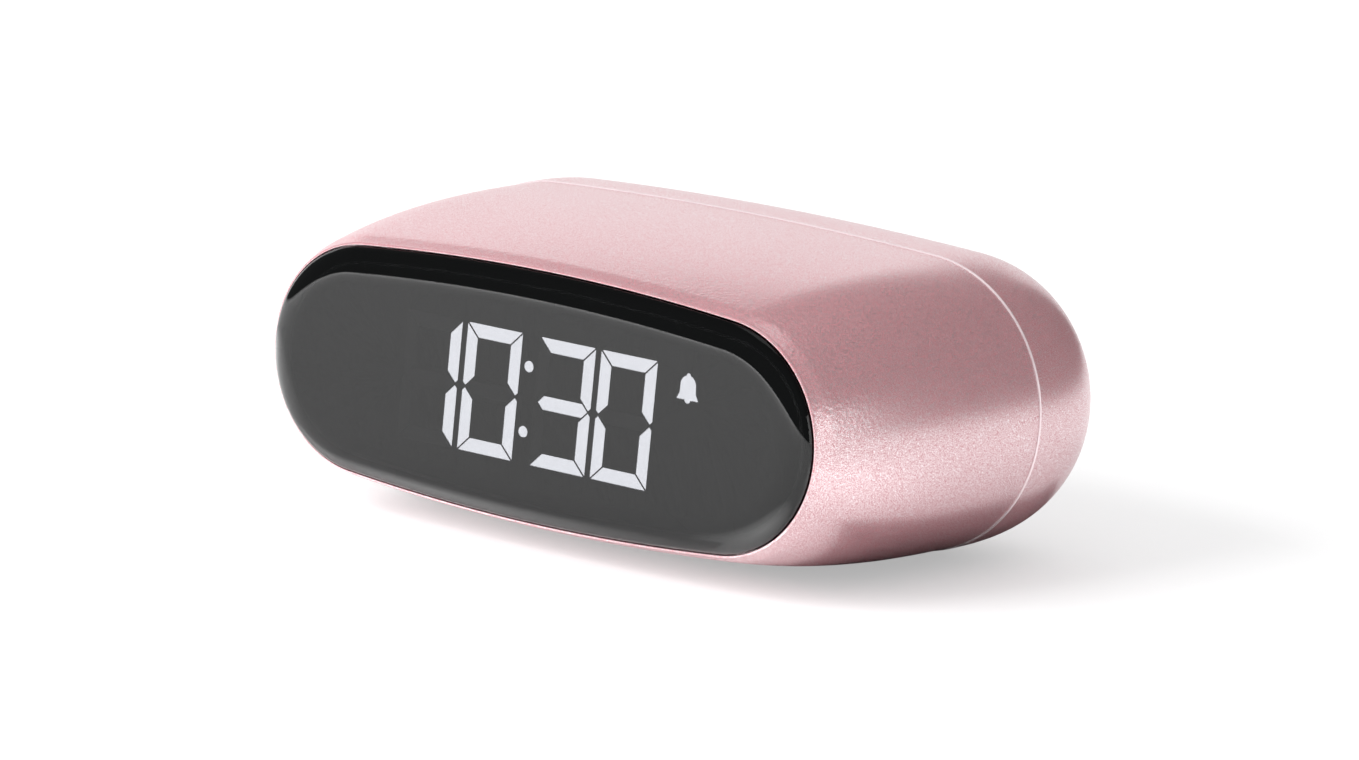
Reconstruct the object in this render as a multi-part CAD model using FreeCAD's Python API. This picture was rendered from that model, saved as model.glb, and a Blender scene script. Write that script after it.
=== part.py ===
import FreeCAD, Part
import math
import os
from FreeCAD import Vector

os.makedirs("parts", exist_ok=True)

# The case is drawn with Y = 0 at the front rim and Z = 0 on its axis, and moved onto its base when saved.

# Lens, seen from the front: a wide rounded outline of four tangent arcs
lens_half_width = 42.0
lens_half_height = 15.5
lens_crown_rise = 1.3
lens_proud = 1.7
lens_edge_width = 4.2
lens_inside_depth = 1.3

# Front shell
shell_wall = 2.0
lens_gap = 0.2
rim_land = 0.15
rim_bevel = 0.55
ledge_width = 2.2
ledge_thickness = 1.2
shell_growth_power = 2.44
seam_half_width = 47.8
seam_half_height = 19.5
seam_crown_rise = 0.8
seam_y = 38.9
seam_gap = 0.1
seam_bevel = 0.2

# Rear cover
cover_wall = 2.0
cover_depth = 20.05
cover_flat_half_height = 5.5
cover_round_power = 2.2
cover_round_root = 3.02
spigot_length = 4.0
spigot_root_length = 3.0
spigot_thickness = 1.2
spigot_clearance = 0.15
spigot_overlap = 0.5

# Gasket and mask behind the lens
gasket_thickness = 0.3
gasket_edge_gap = 0.3
mask_thickness = 0.2
mask_edge_gap = 0.3

# Digits
digit_width = 8.6
digit_height = 16.0
digit_stroke = 1.65
digit_gap = 0.25
digit_slant = 0.04
digit_space = 0.9
colon_space = 1.9
digits_x = -16.95
digits_z = -0.5
tip_inset = 0.35
tip_height = 0.2
colon_offset = 4.08
colon_radius = 0.68
bell_space = 9.4
bell_z = 5.04
bell_height = 3.66
bell_dome_radius = 1.15
bell_waist_radius = 1.2
bell_flare_height = 0.8
bell_brim_half_width = 1.62
bell_knob_radius = 0.28
bell_clapper_radius = 0.42
pipe_depth = 3.0
pipe_front_gap = 0.05
window_clearance = 0.06

# Display block
housing_left_margin = 2.75
housing_right_margin = 4.65
housing_height_margin = 2.5
housing_front_gap = 0.1
housing_depth = 6.0
led_width = 1.2
led_height = 0.8
led_thickness = 0.6

# Inner frame
chassis_gap = 0.3
chassis_front_gap = 0.1
chassis_thickness = 1.5
chassis_window_gap = 0.2
case_post_radius = 2.7
case_post_gap = 0.1
gusset_length = 14.0
gusset_width = 4.0
gusset_thickness = 1.2
board_post_x = 33.5
board_post_z = 8.5
board_post_radius = 2.2

# Main board
board_thickness = 1.6
board_edge_gap = 0.8
board_hole_clearance = 0.15
board_post_notch_gap = 0.4
chip_size = 10.0
chip_thickness = 1.6
chip_x = 4.0
chip_z = 2.0
chip_leg_count = 8
chip_leg_pitch = 1.0
chip_leg_width = 0.4
chip_leg_reach = 1.0
chip_leg_thickness = 0.3
crystal_radius = 1.5
crystal_length = 6.0
crystal_x = -14.0
crystal_z = 7.0
small_part_length = 2.0
small_part_width = 1.2
small_part_height = 0.9
small_part_count = 6
small_part_pitch = 3.4
small_part_x = -9.0
small_part_z = -9.0
socket_width = 7.0
socket_height = 5.0
socket_depth = 5.0
battery_socket_x = 14.0
battery_socket_z = -5.0
cable_socket_x = 29.5

# Touch sensor under the top
foil_half_width = 16.0
foil_front_y = 12.0
foil_back_y = 30.0
foil_thickness = 0.15
foil_gap = 0.05
touch_spring_x = -9.0
touch_spring_width = 5.0
touch_spring_thickness = 0.3
touch_spring_foot = 4.0
touch_spring_foot_z = 9.0
touch_spring_reach = 20.0
touch_spring_gap = 0.1

# Cells and battery bay
cell_length = 44.5
cell_radius = 5.25
cell_nub_radius = 1.9
cell_nub_length = 1.0
cell_rim = 0.4
cell_pair_gap = 0.6
cell_back_gap = 0.7
cell_end_gap = 0.1
bay_gap = 0.4
bay_wall = 1.2
contact_thickness = 0.4
contact_half_height = 4.6
contact_front_gap = 0.3
contact_height = 9.6
contact_tab_width = 3.0
contact_tab_length = 2.2
contact_slot_gap = 0.1
spring_length = 3.9
spring_wire = 0.6
spring_radius = 2.8
spring_turns = 3

# Battery door
door_thickness = 1.4
door_seat_gap = 0.1
door_gap = 0.3
door_overlap = 1.5
door_edge_step = 0.2
hinge_radius = 1.1
hinge_depth = 1.4
hinge_relief = 0.3
hinge_pin_radius = 0.6
hinge_pin_length = 1.2
hinge_pin_clearance = 0.05
hinge_pin_end_gap = 0.2
hinge_boss = 0.3
hinge_lip_gap = 0.6
latch_half_width = 4.0
latch_thickness = 0.5
latch_length = 3.4
latch_gap = 0.2
grip_radius = 9.0
grip_depth = 0.7
grip_drop = 3.2

# Buttons
button_bay_distance = 5.6
button_z = 8.5
button_radius = 2.9
button_proud = 0.65
button_edge_round = 0.4
button_gap = 0.3
button_travel = 0.6
button_flange_radius = 3.7
button_flange_thickness = 0.8
button_stop_depth = 4.35
button_stop_gap = 0.1
button_guide_radius = 4.3
button_stem_radius = 1.5
plunger_gap = 0.1

# Button boards and switches
side_board_depth = 11.45
side_board_thickness = 1.2
side_board_bay_gap = 1.4
side_board_reach = 3.3
side_board_edge_gap = 1.2
side_screw_inset = 2.0
side_screw_drop = 5.5
side_boss_radius = 1.7
switch_size = 6.0
switch_height = 3.0
plunger_radius = 1.6
plunger_proud = 1.0
plunger_inside = 1.0
plunger_clearance = 0.08
buzzer_radius = 3.3
buzzer_height = 4.0
buzzer_port_radius = 0.8
buzzer_port_depth = 1.5
sound_hole_radius = 0.65
sound_ring_radius = 1.9
sound_ring_count = 6

# Alarm slider
slider_travel = 2.0
slider_half_width = 1.2
slider_half_height = 1.5
slider_proud = 0.55
slider_slot_gap = 0.3
slider_plate_half_width = 2.2
slider_plate_half_height = 2.4
slider_plate_thickness = 0.9
slider_plate_gap = 0.3
slider_fork_half_width = 1.4
slider_fork_half_height = 1.3
slider_ridge_pitch = 0.9
slider_ridge_depth = 0.35
slider_ridge_width = 0.35
slide_switch_half_width = 2.0
slide_switch_half_height = 4.4
slide_switch_height = 2.5
lever_half = 0.7
lever_length = 3.4
lever_inside = 1.1
lever_gap = 0.1
lever_slot_gap = 0.15

# Screws: head radius, head height, shank radius, shank length
case_screw = (2.2, 1.8, 1.3, 10.0)
board_screw = (1.8, 1.2, 1.0, 3.6)
side_screw = (1.5, 1.0, 0.8, 5.0)
screw_pilot_clearance = 0.05
screw_hole_clearance = 0.3
screw_well_clearance = 0.4
screw_tip_gap = 1.0
screw_seat_thickness = 2.0
well_wall = 1.2
well_depth = 11.75
well_board_gap = 0.2
cross_width = 0.5
cross_depth = 0.6
cross_share = 0.7

# Feet
foot_half_length = 22.0
foot_half_width = 2.5
foot_thickness = 1.5
foot_proud = 0.4
foot_gap = 0.05
front_foot_y = 25.0
rear_foot_step = 6.3

# Wires
battery_wire_radius = 0.6
button_cable_radius = 1.0
wire_end_gap = 0.35
wire_spread = 1.6
bend_share = 0.45

# Values worked out from the sizes above
lens_outline = (lens_half_width, lens_half_height, lens_half_height - lens_crown_rise)
seam_outline = (seam_half_width, seam_half_height, seam_half_height - seam_crown_rise)
lens_back_y = lens_inside_depth
ledge_y = lens_back_y + gasket_thickness
cavity_y = ledge_y + ledge_thickness
shell_end_y = seam_y - seam_gap / 2
cover_start_y = seam_y + seam_gap / 2
cover_back_y = seam_y + cover_depth
cover_round_width = seam_half_height - cover_flat_half_height
digit_pitch = digit_width + digit_space
bell_x = digits_x + 3 * digit_pitch + colon_space + bell_space
housing_left = digits_x - digit_width / 2 - housing_left_margin
housing_right = bell_x + housing_right_margin
housing_half_height = digit_height / 2 + housing_height_margin
housing_front_y = lens_back_y + mask_thickness + housing_front_gap
board_y = housing_front_y + housing_depth
board_back_y = board_y + board_thickness
chassis_y = cavity_y + chassis_front_gap
chassis_back_y = chassis_y + chassis_thickness
base_z = -(seam_half_height + foot_proud)
cell_spacing = 2 * cell_radius + cell_pair_gap
cell_y = cover_back_y - door_thickness - cell_back_gap - cell_radius
bay_half_length = (2 * contact_thickness + spring_length + cell_length + 2 * cell_end_gap) / 2
bay_half_height = cell_spacing / 2 + cell_radius + bay_gap
bay_floor_y = cell_y - cell_radius - bay_gap
door_half_width = bay_half_length + door_overlap
door_half_height = bay_half_height + bay_wall - door_edge_step
button_x = bay_half_length + bay_wall + button_bay_distance
button_face_y = cover_back_y + button_proud
button_stop_y = cover_back_y - button_stop_depth
side_board_inner_x = bay_half_length + bay_wall + side_board_bay_gap
side_board_outer_x = button_x + side_board_reach
side_board_y = cover_back_y - side_board_depth
side_board_back_y = side_board_y + side_board_thickness
side_screw_x = side_board_inner_x + side_screw_inset
side_screw_z = seam_half_height - side_screw_drop
switch_top_y = side_board_back_y + switch_height
plunger_top_y = switch_top_y + plunger_proud
well_radius = case_screw[0] + screw_well_clearance
well_floor_y = cover_back_y - well_depth
case_post_x = side_board_outer_x + well_radius + well_wall + well_board_gap
boss_start_y = well_floor_y - screw_seat_thickness
slider_z = slider_travel / 2
slider_face_y = cover_back_y + slider_proud
rear_foot_y = seam_y + rear_foot_step


def grow(outline, distance):
    return tuple(size + distance for size in outline)


def inset(outline, distance):
    return grow(outline, -distance)


def blend_outlines(first, second, share):
    return tuple(one + (two - one) * share for one, two in zip(first, second))


def outline_wire(outline, y):
    half_width, half_height, end_radius = outline
    centre_x = half_width - end_radius
    rise = half_height - end_radius
    crown_radius = (centre_x ** 2 + half_height ** 2 - end_radius ** 2) / (2 * rise)
    crown_drop = crown_radius - half_height
    turn = math.atan2(centre_x, crown_drop)
    join_x = crown_radius * math.sin(turn)
    join_z = crown_radius * math.cos(turn) - crown_drop
    top_left = Vector(-join_x, y, join_z)
    top_right = Vector(join_x, y, join_z)
    low_right = Vector(join_x, y, -join_z)
    low_left = Vector(-join_x, y, -join_z)
    arcs = [
        Part.Arc(top_left, Vector(0, y, half_height), top_right),
        Part.Arc(top_right, Vector(half_width, y, 0), low_right),
        Part.Arc(low_right, Vector(0, y, -half_height), low_left),
        Part.Arc(low_left, Vector(-half_width, y, 0), top_left),
    ]
    return Part.Wire([arc.toShape() for arc in arcs])


def outline_prism(outline, start_y, end_y):
    return Part.Face(outline_wire(outline, start_y)).extrude(Vector(0, end_y - start_y, 0))


def outline_loft(sections, ruled=False):
    return Part.makeLoft([outline_wire(outline, y) for outline, y in sections], True, ruled)


def box(low_x, high_x, low_y, high_y, low_z, high_z):
    return Part.makeBox(high_x - low_x, high_y - low_y, high_z - low_z, Vector(low_x, low_y, low_z))


def rod(x, z, radius, start_y, end_y):
    return Part.makeCylinder(radius, end_y - start_y, Vector(x, start_y, z), Vector(0, 1, 0))


def cross_rod(y, z, radius, start_x, end_x):
    return Part.makeCylinder(radius, end_x - start_x, Vector(start_x, y, z), Vector(1, 0, 0))


def join(shapes):
    result = shapes[0]
    for shape in shapes[1:]:
        result = result.fuse(shape)
    return result.removeSplitter()


def save(name, *solids):
    group = Part.makeCompound([solid for shape in solids for solid in shape.Solids])
    base_shift = Vector(0, (lens_proud - button_face_y) / 2, -base_z)
    group.translate(base_shift)
    group.exportStep("parts/" + name + ".step")
    print(name, len(group.Solids), round(group.Volume, 2), group.isValid())


# Outer form

rim_outline = grow(lens_outline, lens_gap + rim_land + rim_bevel)


def shell_outline(y):
    share = (y - rim_bevel) / (seam_y - rim_bevel)
    return blend_outlines(rim_outline, seam_outline, 1 - (1 - share) ** shell_growth_power)


def shell_form(distance, start_y, end_y):
    steps = 7
    stations = [start_y + (end_y - start_y) * (step / steps) ** 1.3 for step in range(steps + 1)]
    return outline_loft([(inset(shell_outline(y), distance), y) for y in stations])


def cover_round(height_share):
    return 1 - (1 - height_share ** cover_round_root) ** (1 / cover_round_power)


def cover_form(distance):
    sections = []
    for height_share in (0, 0.25, 0.45, 0.6, 0.72, 0.81, 0.88, 0.93, 0.965, 0.99, 1):
        outline = inset(seam_outline, distance + cover_round_width * cover_round(height_share))
        sections.append((outline, seam_y + (cover_depth - distance) * height_share))
    return outline_loft(sections)


def cover_surface_y(edge_distance):
    share = min(edge_distance / cover_round_width, 1)
    return seam_y + cover_depth * (1 - (1 - share) ** cover_round_power) ** (1 / cover_round_root)


cover_outside = cover_form(0)
cover_inside = cover_form(cover_wall)


# Screws

def screw(x, z, seat_y, sizes, towards):
    head_radius, head_height, shank_radius, shank_length = sizes
    if towards < 0:
        head = rod(x, z, head_radius, seat_y, seat_y + head_height)
        shank = rod(x, z, shank_radius, seat_y - shank_length, seat_y)
        cut_low, cut_high = seat_y + head_height - cross_depth, seat_y + head_height
    else:
        head = rod(x, z, head_radius, seat_y - head_height, seat_y)
        shank = rod(x, z, shank_radius, seat_y, seat_y + shank_length)
        cut_low, cut_high = seat_y - head_height, seat_y - head_height + cross_depth
    arm = head_radius * cross_share
    half = cross_width / 2
    flat_cut = box(x - arm, x + arm, cut_low, cut_high, z - half, z + half)
    upright_cut = box(x - half, x + half, cut_low, cut_high, z - arm, z + arm)
    return join([head, shank]).cut(flat_cut).cut(upright_cut)


# Digits

def polygon_face(points, y):
    corners = [Vector(x, y, z) for x, z in points]
    return Part.Face(Part.makePolygon(corners + corners[:1]))


def slanted(points, centre_x):
    return [(centre_x + x + digit_slant * z, digits_z + z) for x, z in points]


def top_bar():
    half_width, half_height = digit_width / 2, digit_height / 2
    mitre = digit_gap / math.sqrt(2)
    return [
        (-half_width + mitre, half_height),
        (half_width - mitre, half_height),
        (half_width - digit_stroke - mitre, half_height - digit_stroke),
        (-half_width + digit_stroke + mitre, half_height - digit_stroke),
    ]


def side_bar():
    half_width, half_height = digit_width / 2, digit_height / 2
    mitre = digit_gap / math.sqrt(2)
    return [
        (half_width, half_height - mitre),
        (half_width, tip_height + tip_inset),
        (half_width - tip_inset, tip_height),
        (half_width - digit_stroke, tip_height + digit_stroke - tip_inset),
        (half_width - digit_stroke, half_height - digit_stroke - mitre),
    ]


def middle_bar():
    half = digit_stroke / 2
    reach = digit_width / 2 - tip_inset - digit_gap * math.sqrt(2) + tip_height
    return [(-reach, 0), (-reach + half, half), (reach - half, half),
            (reach, 0), (reach - half, -half), (-reach + half, -half)]


def mirrored(points, side_x, side_z):
    return [(side_x * x, side_z * z) for x, z in points]


def strokes():
    return {
        "top": top_bar(),
        "bottom": mirrored(top_bar(), 1, -1),
        "upper_right": side_bar(),
        "upper_left": mirrored(side_bar(), -1, 1),
        "lower_right": mirrored(side_bar(), 1, -1),
        "lower_left": mirrored(side_bar(), -1, -1),
        "middle": middle_bar(),
    }


digit_strokes = {
    "0": ["top", "bottom", "upper_right", "upper_left", "lower_right", "lower_left"],
    "1": ["upper_right", "lower_right"],
    "3": ["top", "bottom", "upper_right", "lower_right", "middle"],
}


def bell_face(y):
    top = bell_z + bell_height / 2
    brim_z = bell_z - bell_height / 2 + bell_clapper_radius
    dome_z = top - bell_knob_radius - bell_dome_radius
    side = bell_waist_radius
    flare_z = brim_z + bell_flare_height

    def at(x, z):
        return Vector(bell_x + x, y, z)

    dome_top = at(0, dome_z + bell_dome_radius)
    edges = [
        Part.Arc(at(-bell_dome_radius, dome_z), dome_top, at(bell_dome_radius, dome_z)),
        Part.LineSegment(at(bell_dome_radius, dome_z), at(side, flare_z)),
        Part.LineSegment(at(side, flare_z), at(bell_brim_half_width, brim_z)),
        Part.LineSegment(at(bell_brim_half_width, brim_z), at(-bell_brim_half_width, brim_z)),
        Part.LineSegment(at(-bell_brim_half_width, brim_z), at(-side, flare_z)),
        Part.LineSegment(at(-side, flare_z), at(-bell_dome_radius, dome_z)),
    ]
    body = Part.Face(Part.Wire([edge.toShape() for edge in edges]))
    return body, disc_face(bell_x, top - bell_knob_radius, bell_knob_radius, y), \
        disc_face(bell_x, brim_z, bell_clapper_radius, y)


def disc_face(x, z, radius, y):
    return Part.Face(Part.Wire(Part.makeCircle(radius, Vector(x, y, z), Vector(0, 1, 0))))


def digit_centres():
    first = digits_x
    second = first + digit_pitch
    third = second + digit_pitch + colon_space
    return [first, second, third, third + digit_pitch]


def stroke_faces(y):
    lit, dark = [], []
    for figure, centre_x in zip("1030", digit_centres()):
        for name, points in strokes().items():
            face = polygon_face(slanted(points, centre_x), y)
            (lit if name in digit_strokes[figure] else dark).append([face])
    colon_x = (digit_centres()[1] + digit_centres()[2]) / 2
    for side in (1, -1):
        x = colon_x + digit_slant * side * colon_offset
        lit.append([disc_face(x, digits_z + side * colon_offset, colon_radius, y)])
    lit.append(list(bell_face(y)))
    return lit, dark


def raised(faces, start_y, end_y, clearance=0):
    solids = []
    for face in faces:
        grown = face.makeOffset2D(clearance, 2, False, False, False) if clearance else face
        grown = grown.copy()
        grown.translate(Vector(0, start_y, 0))
        solids.append(grown.extrude(Vector(0, end_y - start_y, 0)))
    return join(solids) if len(solids) > 1 else solids[0]


# Tubes that follow runs joined by tangent arcs

def path_wire(points):
    runs = [(points[i + 1] - points[i]).Length for i in range(len(points) - 1)]
    edges = []
    start = points[0]
    for i in range(1, len(points) - 1):
        into = (points[i] - points[i - 1]).normalize()
        out = (points[i + 1] - points[i]).normalize()
        turn = into.getAngle(out)
        setback = bend_share * min(runs[i - 1], runs[i])
        first = points[i] - into * setback
        last = points[i] + out * setback
        radius = setback / math.tan(turn / 2)
        inward = (out - into).normalize()
        middle = points[i] + inward * (radius / math.cos(turn / 2) - radius)
        edges.append(Part.LineSegment(start, first).toShape())
        edges.append(Part.Arc(first, middle, last).toShape())
        start = last
    edges.append(Part.LineSegment(start, points[-1]).toShape())
    return Part.Wire(edges)


def tube(points, radius):
    points = [Vector(*point) for point in points]
    path = path_wire(points)
    circle = Part.Wire(Part.makeCircle(radius, points[0], points[1] - points[0]))
    solid = path.makePipeShell([circle], True, False)
    print("tube", round(solid.Volume / (math.pi * radius ** 2 * path.Length), 4))
    return solid


def biarc(start, start_way, end, end_way):
    chord = end - start
    ways = start_way + end_way
    square = 2 * (1 - start_way.dot(end_way))
    along = chord.dot(ways)
    reach = (-along + math.sqrt(along ** 2 + square * chord.dot(chord))) / square
    first = start + start_way * reach
    second = end - end_way * reach
    middle = (first + second) * 0.5
    return [tangent_arc(start, start_way, middle), tangent_arc(end, end_way * -1, middle)]


def tangent_arc(start, way, end):
    chord = end - start
    half_turn = way.getAngle(chord)
    across = (way - chord * (way.dot(chord) / chord.dot(chord))).normalize()
    middle = (start + end) * 0.5 + across * (chord.Length / 2 * math.tan(half_turn / 2))
    return Part.Arc(start, middle, end).toShape()


def coil(start_x, length, centre_y, centre_z):
    pitch = (length - spring_wire) / spring_turns
    quarters = spring_turns * 4
    slope = pitch / (2 * math.pi * spring_radius)

    def station(step):
        angle = step * math.pi / 2
        place = Vector(start_x + spring_wire / 2 + pitch * step / 4,
                       centre_y + spring_radius * math.cos(angle),
                       centre_z + spring_radius * math.sin(angle))
        way = Vector(slope, -math.sin(angle), math.cos(angle)).normalize()
        return place, way

    edges = []
    for step in range(quarters):
        (start, start_way), (end, end_way) = station(step), station(step + 1)
        edges += biarc(start, start_way, end, end_way)
    path = Part.Wire(Part.__sortEdges__(edges))
    start, way = station(0)
    circle = Part.Wire(Part.makeCircle(spring_wire / 2, start, way))
    solid = path.makePipeShell([circle], True, False)
    least_gap = min(
        (station(step)[0] - station(other)[0]).Length - spring_wire
        for step in range(quarters + 1) for other in range(step + 3, quarters + 1))
    print("spring least gap", round(least_gap, 3))
    return solid


# Front shell, with its bevelled rim, the pocket and ledge for the lens, and the foot pocket

def foot_form(y, gap, thickness):
    half_width = foot_half_width + gap
    straight = foot_half_length - foot_half_width
    bar = box(-straight, straight, y - half_width, y + half_width, base_z, base_z + thickness)
    ends = [Part.makeCylinder(half_width, thickness, Vector(side * straight, y, base_z)) for side in (1, -1)]
    return join([bar] + ends)


def front_shell():
    bevel = outline_loft([(inset(rim_outline, rim_bevel), 0), (rim_outline, rim_bevel)], True)
    body = shell_form(0, rim_bevel, shell_end_y - seam_bevel)
    rear_edge = shell_outline(shell_end_y - seam_bevel)
    rear_face = inset(rear_edge, seam_bevel)
    back = outline_loft([(rear_edge, shell_end_y - seam_bevel), (rear_face, shell_end_y)], True)
    outside = bevel.fuse(body).fuse(back)
    inside = shell_form(shell_wall, cavity_y, seam_y)
    pocket = outline_prism(grow(lens_outline, lens_gap), -1, ledge_y)
    opening = outline_prism(inset(lens_outline, ledge_width), -1, cavity_y + 1)
    return outside.cut(inside).cut(pocket).cut(opening).cut(foot_form(front_foot_y, foot_gap, foot_thickness))


# Lens

def front_lens():
    sections = []
    for degrees in (0, 15, 30, 45, 60, 75, 90):
        angle = math.radians(degrees)
        outline = inset(lens_outline, lens_edge_width * (1 - math.cos(angle)))
        sections.append((outline, -lens_proud * math.sin(angle)))
    return outline_loft(sections).fuse(outline_prism(lens_outline, 0, lens_back_y)).removeSplitter()


def lens_gasket():
    ring = outline_prism(inset(lens_outline, gasket_edge_gap), lens_back_y, ledge_y)
    return ring.cut(outline_prism(inset(lens_outline, ledge_width), lens_back_y, ledge_y))


# Display block with one light pipe for each stroke

lit_faces, dark_faces = stroke_faces(0)
windows = [raised(faces, lens_back_y, board_y, window_clearance) for faces in lit_faces + dark_faces]


def light_pipes(face_groups):
    front = lens_back_y + pipe_front_gap
    return [raised(faces, front, front + pipe_depth) for faces in face_groups]


def display_mask():
    outline = inset(lens_outline, ledge_width + mask_edge_gap)
    return outline_prism(outline, lens_back_y, lens_back_y + mask_thickness).cut(windows)


def display_housing():
    block = box(housing_left, housing_right, housing_front_y, board_y,
                digits_z - housing_half_height, digits_z + housing_half_height)
    return block.cut(windows)


def led_chips():
    chips = []
    for faces in lit_faces + dark_faces:
        middle = faces[0].CenterOfMass
        chips.append(box(middle.x - led_width / 2, middle.x + led_width / 2, board_y - led_thickness, board_y,
                         middle.z - led_height / 2, middle.z + led_height / 2))
    return chips


# Inner frame with the posts for board and case screws

def board_post_places():
    return [(side_x * board_post_x, side_z * board_post_z) for side_x in (1, -1) for side_z in (1, -1)]


def front_chassis():
    outline = inset(shell_outline(chassis_y), shell_wall + chassis_gap)
    pieces = [outline_prism(outline, chassis_y, chassis_back_y)]
    post_end = boss_start_y - case_post_gap
    pilot = case_screw[2] + screw_pilot_clearance
    pilot_start = well_floor_y - case_screw[3] - screw_tip_gap
    holes = []
    for side in (1, -1):
        x = side * case_post_x
        pieces.append(rod(x, 0, case_post_radius, chassis_back_y, post_end))
        gusset_inner = x - side * (case_post_radius + gusset_width)
        low_x, high_x = sorted((x, gusset_inner))
        pieces.append(box(low_x, high_x, chassis_back_y, board_y - board_post_notch_gap,
                          -gusset_thickness / 2, gusset_thickness / 2))
        low_x, high_x = -gusset_thickness / 2, gusset_thickness / 2
        pieces.append(box(x + low_x, x + high_x, chassis_back_y, chassis_back_y + gusset_length,
                          -case_post_radius - gusset_thickness, case_post_radius + gusset_thickness))
        holes.append(rod(x, 0, pilot, pilot_start, post_end + 1))
    for x, z in board_post_places():
        pieces.append(rod(x, z, board_post_radius, chassis_back_y, board_y))
        holes.append(rod(x, z, board_screw[2] + screw_pilot_clearance,
                         board_back_y - board_screw[3] - screw_tip_gap, board_y + 1))
    window = box(housing_left - chassis_window_gap, housing_right + chassis_window_gap,
                 chassis_y - 1, chassis_back_y + 1,
                 digits_z - housing_half_height - chassis_window_gap,
                 digits_z + housing_half_height + chassis_window_gap)
    return join(pieces).cut([window] + holes)


# Main board and what is soldered to it

def main_board():
    outline = inset(shell_outline(board_y), shell_wall + board_edge_gap)
    cuts = [rod(x, z, board_screw[2] + board_hole_clearance, board_y - 1, board_back_y + 1)
            for x, z in board_post_places()]
    notch = case_post_radius + gusset_thickness + board_post_notch_gap
    for side in (1, -1):
        low_x, high_x = sorted((side * (case_post_x - notch), side * seam_half_width))
        cuts.append(box(low_x, high_x, board_y - 1, board_back_y + 1, -notch, notch))
    return outline_prism(outline, board_y, board_back_y).cut(cuts)


def clock_chip():
    half = chip_size / 2
    top = board_back_y + chip_thickness
    pieces = [box(chip_x - half, chip_x + half, board_back_y + chip_leg_thickness, top,
                  chip_z - half, chip_z + half)]
    for leg in range(chip_leg_count):
        along = (leg - (chip_leg_count - 1) / 2) * chip_leg_pitch
        reach = half + chip_leg_reach
        thin = chip_leg_width / 2
        pieces.append(box(chip_x - reach, chip_x + reach, board_back_y, board_back_y + 2 * chip_leg_thickness,
                          chip_z + along - thin, chip_z + along + thin))
        pieces.append(box(chip_x + along - thin, chip_x + along + thin, board_back_y,
                          board_back_y + 2 * chip_leg_thickness, chip_z - reach, chip_z + reach))
    return join(pieces)


def board_parts():
    parts = []
    for place in range(small_part_count):
        x = small_part_x + place * small_part_pitch
        parts.append(box(x, x + small_part_length, board_back_y, board_back_y + small_part_height,
                         small_part_z, small_part_z + small_part_width))
    return parts


def wire_sockets():
    places = [(battery_socket_x, battery_socket_z), (cable_socket_x, 0), (-cable_socket_x, 0)]
    return [box(x - socket_width / 2, x + socket_width / 2, board_back_y, board_back_y + socket_depth,
                z - socket_height / 2, z + socket_height / 2) for x, z in places]


# Touch sensor

def touch_foil():
    outer = shell_form(shell_wall + foil_gap, cavity_y, seam_y)
    inner = shell_form(shell_wall + foil_gap + foil_thickness, cavity_y, seam_y)
    patch = box(-foil_half_width, foil_half_width, foil_front_y, foil_back_y, 0, seam_half_height)
    return outer.cut(inner).common(patch)


def touch_spring():
    ceiling = shell_outline(touch_spring_reach)[1] - shell_wall - foil_gap - foil_thickness - touch_spring_gap
    thick = touch_spring_thickness
    low = touch_spring_foot_z - touch_spring_foot
    profile = [
        (board_back_y, low), (board_back_y + thick, low),
        (board_back_y + thick, touch_spring_foot_z - thick), (touch_spring_reach, ceiling - thick),
        (touch_spring_reach, ceiling), (board_back_y, touch_spring_foot_z),
    ]
    corners = [Vector(touch_spring_x, y, z) for y, z in profile]
    return Part.Face(Part.makePolygon(corners + corners[:1])).extrude(Vector(touch_spring_width, 0, 0))


# Rear cover with battery bay, hinge sockets, button guides, wells and feet pocket

hinge_z = -(door_half_height - hinge_radius)
hinge_y = cover_surface_y(seam_half_height + hinge_z) - hinge_depth


def door_opening():
    high_z = door_half_height + door_gap
    low_z = hinge_z - hinge_radius - hinge_lip_gap
    half_width = door_half_width + door_gap
    prism = box(-half_width, half_width, bay_floor_y, cover_back_y + 1, low_z, high_z)
    relief = cross_rod(hinge_y, hinge_z, hinge_radius + hinge_relief, -half_width, half_width)
    return prism.cut(cover_form(door_thickness + door_seat_gap)).fuse(relief)


def button_places():
    return {
        "hour": (-button_x, button_z),
        "minute": (-button_x, -button_z),
        "time": (button_x, button_z),
        "alarm": (button_x, -button_z),
    }


def side_screw_places():
    return [(side_x * side_screw_x, side_z * side_screw_z) for side_x in (1, -1) for side_z in (1, -1)]


def contact_slots():
    slots = []
    gap = contact_slot_gap
    for z in (cell_spacing / 2, -cell_spacing / 2):
        slots.append(box(bay_half_length - contact_thickness - gap, bay_half_length,
                         bay_floor_y - bay_wall - 1, bay_floor_y + 1,
                         z - contact_tab_width / 2 - gap, z + contact_tab_width / 2 + gap))
    return slots


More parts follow.
